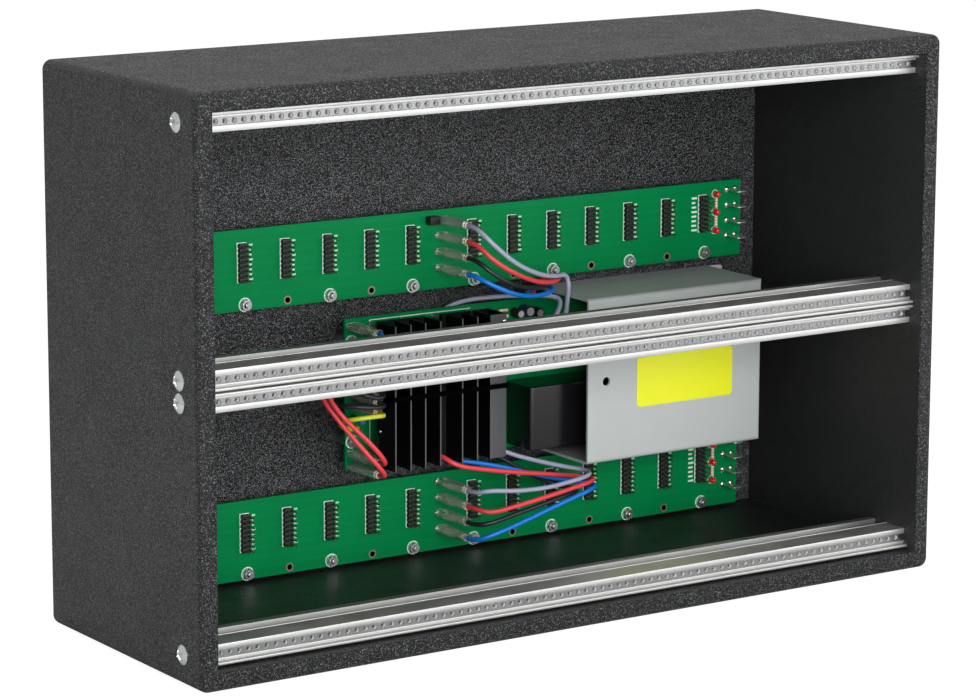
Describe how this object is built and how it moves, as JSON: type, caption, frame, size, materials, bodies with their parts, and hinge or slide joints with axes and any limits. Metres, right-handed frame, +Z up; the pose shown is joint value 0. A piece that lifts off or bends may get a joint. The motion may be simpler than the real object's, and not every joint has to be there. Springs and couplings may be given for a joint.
{
  "type": "subrack card cage",
  "caption": "Open-fronted black case with two rows of lipped rails for plug-in circuit modules, bus boards on the rear wall, and a power supply under a folded cover between them.",
  "frame": {"origin": "middle of the whole, on the surface that the case stands on", "axes": "+X to the right seen from the open front, +Y to the rear board, +Z up"},
  "size_m": [0.452, 0.1596, 0.2874],
  "materials": {
    "black_anodised": "black anodised",
    "black_plastic": "matte",
    "bright_steel": "bright plated",
    "capacitor_blue": "sleeved",
    "case_paint": "black pebbled paint",
    "circuit_board_green": "green solder mask",
    "clear_sleeve": "clear",
    "cover_grey": "light grey, satin",
    "label_yellow": "coated",
    "lamp_red": "gloss",
    "module_black": "satin",
    "rail_aluminium": "satin",
    "resistor_beige": "lacquered",
    "tinned_brass": "tinned",
    "wire_black": "insulation",
    "wire_blue": "insulation",
    "wire_grey": "insulation",
    "wire_red": "insulation",
    "wire_yellow_green": "insulation",
    "zinc": "zinc plated"
  },
  "bodies": {
    "root": {"board_nuts": "bright_steel", "bottom_board": "case_paint", "bottom_rail": "rail_aluminium", "bottom_strip": "zinc", "bus_lamps": "lamp_red", "bus_resistors": "resistor_beige", "bus_stand_offs": "zinc", "cover_label": "label_yellow", "cover_screws": "bright_steel", "earth_yellow_green_wire": "wire_yellow_green", "heat_sink_pins": "zinc", "heat_sink_tie": "black_plastic", "left_black_wire_a": "wire_black", "left_black_wire_b": "wire_black", "left_blue_wire": "wire_blue", "left_heat_sink": "black_anodised", "left_red_wire_a": "wire_red", "left_red_wire_b": "wire_red", "left_side_board": "case_paint", "link_grey_wire": "wire_grey", "lower_black_wire": "wire_black", "lower_blue_wire": "wire_blue", "lower_bus_board": "circuit_board_green", "lower_bus_tabs": "tinned_brass", "lower_connectors": "black_plastic", "lower_feed_sleeves": "clear_sleeve", "lower_grey_wire": "wire_grey", "lower_middle_rail": "rail_aluminium", "lower_middle_strip": "zinc", "lower_red_wire": "wire_red", "mains_inlet": "black_plastic", "mains_inlet_pins": "tinned_brass", "mains_inlet_screws": "bright_steel", "power_module": "module_black", "rail_screws": "bright_steel", "rear_board": "case_paint", "right_heat_sink": "black_anodised", "right_side_board": "case_paint", "supply_board": "circuit_board_green", "supply_capacitors": "capacitor_blue", "supply_cover": "cover_grey", "supply_sleeves": "clear_sleeve", "supply_stand_offs": "zinc", "supply_tabs": "tinned_brass", "top_board": "case_paint", "top_rail": "rail_aluminium", "top_strip": "zinc", "upper_black_wire": "wire_black", "upper_blue_wire": "wire_blue", "upper_bus_board": "circuit_board_green", "upper_bus_tabs": "tinned_brass", "upper_connectors": "black_plastic", "upper_feed_sleeves": "clear_sleeve", "upper_grey_wire": "wire_grey", "upper_middle_rail": "rail_aluminium", "upper_middle_strip": "zinc", "upper_red_wire": "wire_red", "voltage_regulators": "black_plastic"}
  },
  "joints": []
}
